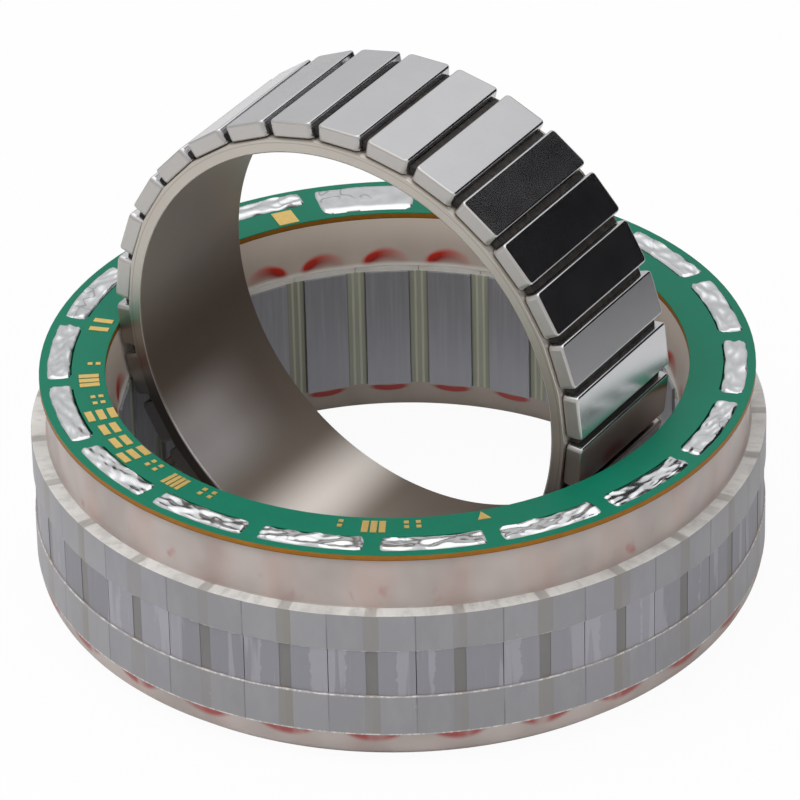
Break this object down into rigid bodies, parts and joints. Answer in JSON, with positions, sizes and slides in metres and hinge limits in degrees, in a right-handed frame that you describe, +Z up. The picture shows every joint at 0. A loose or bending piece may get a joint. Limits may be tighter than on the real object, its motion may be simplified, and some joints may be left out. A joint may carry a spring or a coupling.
{
  "type": "frameless motor",
  "caption": "Frameless ring motor kit: a resin-potted stator with a circuit ring on top, and a loose steel ring of flat magnets standing on edge in its bore.",
  "frame": {"origin": "centre of the face that the stator lies on", "axes": "+Z up along the stator's axis; the loose rotor's axis runs along Y, its visible end towards -Y"},
  "size_m": [0.115, 0.115, 0.0848],
  "materials": {
    "lamination": "bare stacked electrical steel, satin",
    "winding": "red enamelled copper wire",
    "insulator": "white moulded insulator",
    "liner": "greenish translucent slot liner",
    "potting": "milky casting resin, satin",
    "board": "green solder mask over a glass fibre board with a brown edge",
    "solder": "bright lumpy solder",
    "gold": "gold plated copper",
    "ring_steel": "ground steel, fine grain round the bore",
    "magnet": "nickel plated, near mirror",
    "glue": "dark bonding resin"
  },
  "bodies": {
    "root": {"core_segment_01": "lamination", "core_segment_02": "lamination", "core_segment_03": "lamination", "core_segment_04": "lamination", "core_segment_05": "lamination", "core_segment_06": "lamination", "core_segment_07": "lamination", "core_segment_08": "lamination", "core_segment_09": "lamination", "core_segment_10": "lamination", "core_segment_11": "lamination", "core_segment_12": "lamination", "core_segment_13": "lamination", "core_segment_14": "lamination", "core_segment_15": "lamination", "core_segment_16": "lamination", "core_segment_17": "lamination", "core_segment_18": "lamination", "core_segment_19": "lamination", "core_segment_20": "lamination", "core_segment_21": "lamination", "core_segment_22": "lamination", "core_segment_23": "lamination", "core_segment_24": "lamination", "core_segment_25": "lamination", "core_segment_26": "lamination", "core_segment_27": "lamination", "phase_1_coils": "winding", "phase_2_coils": "winding", "phase_3_coils": "winding", "upper_saddles": "insulator", "lower_saddles": "insulator", "slot_strips": "liner", "potting": "potting", "circuit_ring": "board", "solder_joints": "solder", "test_pads": "gold", "marker_dots": "gold", "rotor_ring": "ring_steel", "north_magnets": "magnet", "south_magnets": "magnet", "magnet_glue": "glue"}
  },
  "joints": []
}
